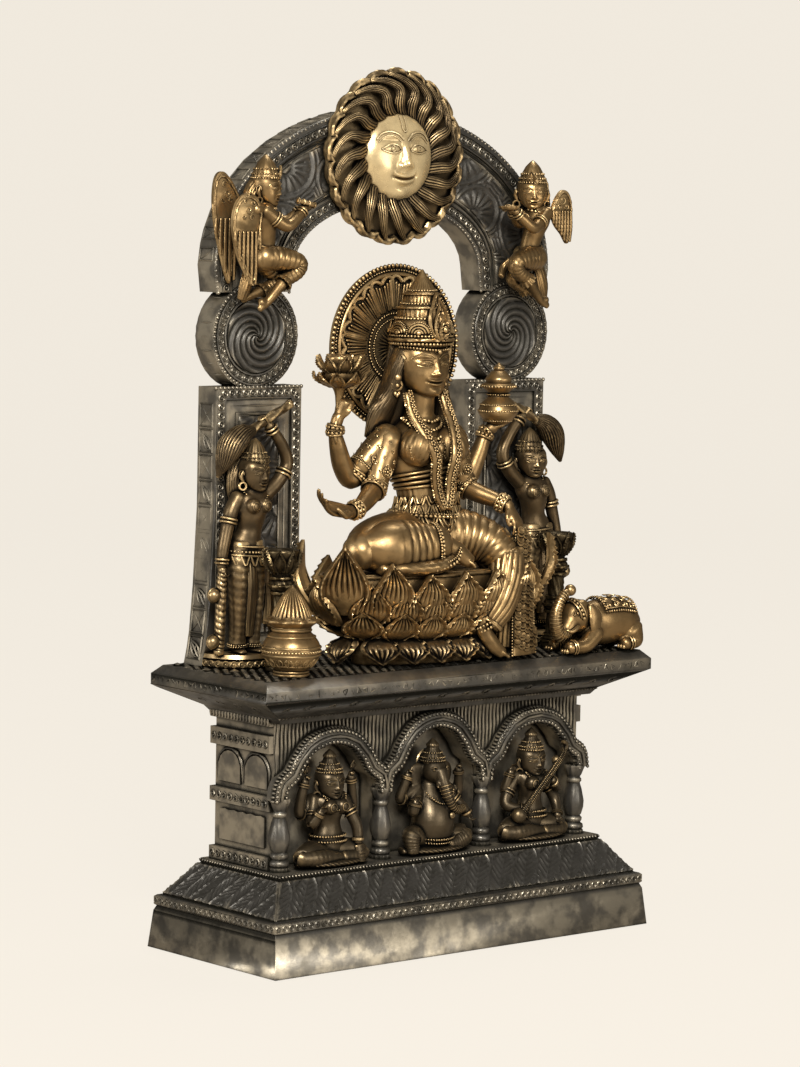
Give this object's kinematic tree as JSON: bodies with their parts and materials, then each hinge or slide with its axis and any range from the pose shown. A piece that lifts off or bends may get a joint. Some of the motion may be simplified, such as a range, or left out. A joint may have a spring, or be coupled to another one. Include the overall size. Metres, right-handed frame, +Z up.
{
  "type": "lakshmi figure",
  "caption": "Seated four-armed goddess on a lotus under an arch with a sun mask, with attendants, on a stepped plinth with niches, in patinated cast brass.",
  "frame": {"origin": "on the floor, under the middle of the plinth", "axes": "+Z up; the front faces -Y; +X is to the right of a viewer who faces the front"},
  "size_m": [0.3262, 0.1308, 0.5598],
  "materials": {
    "dark_patina": "black patina with brown dust in the recesses",
    "antique_brass": "antique brass, polished on the high points and dark in the recesses",
    "niche_brass": "antique brass, darker, with worn high points"
  },
  "bodies": {
    "root": {"plinth": "dark_patina", "arch": "dark_patina", "sun_mask": "antique_brass", "lakshmi_on_lotus": "antique_brass", "halo": "antique_brass", "attendant_left": "antique_brass", "attendant_right": "antique_brass", "winged_figure_left": "antique_brass", "winged_figure_right": "antique_brass", "niche_lakshmi": "niche_brass", "niche_ganesha": "niche_brass", "niche_saraswati": "niche_brass", "lamp_pillar_left": "dark_patina", "lamp_pillar_right": "dark_patina", "kalash": "antique_brass", "elephant": "antique_brass"}
  },
  "joints": []
}
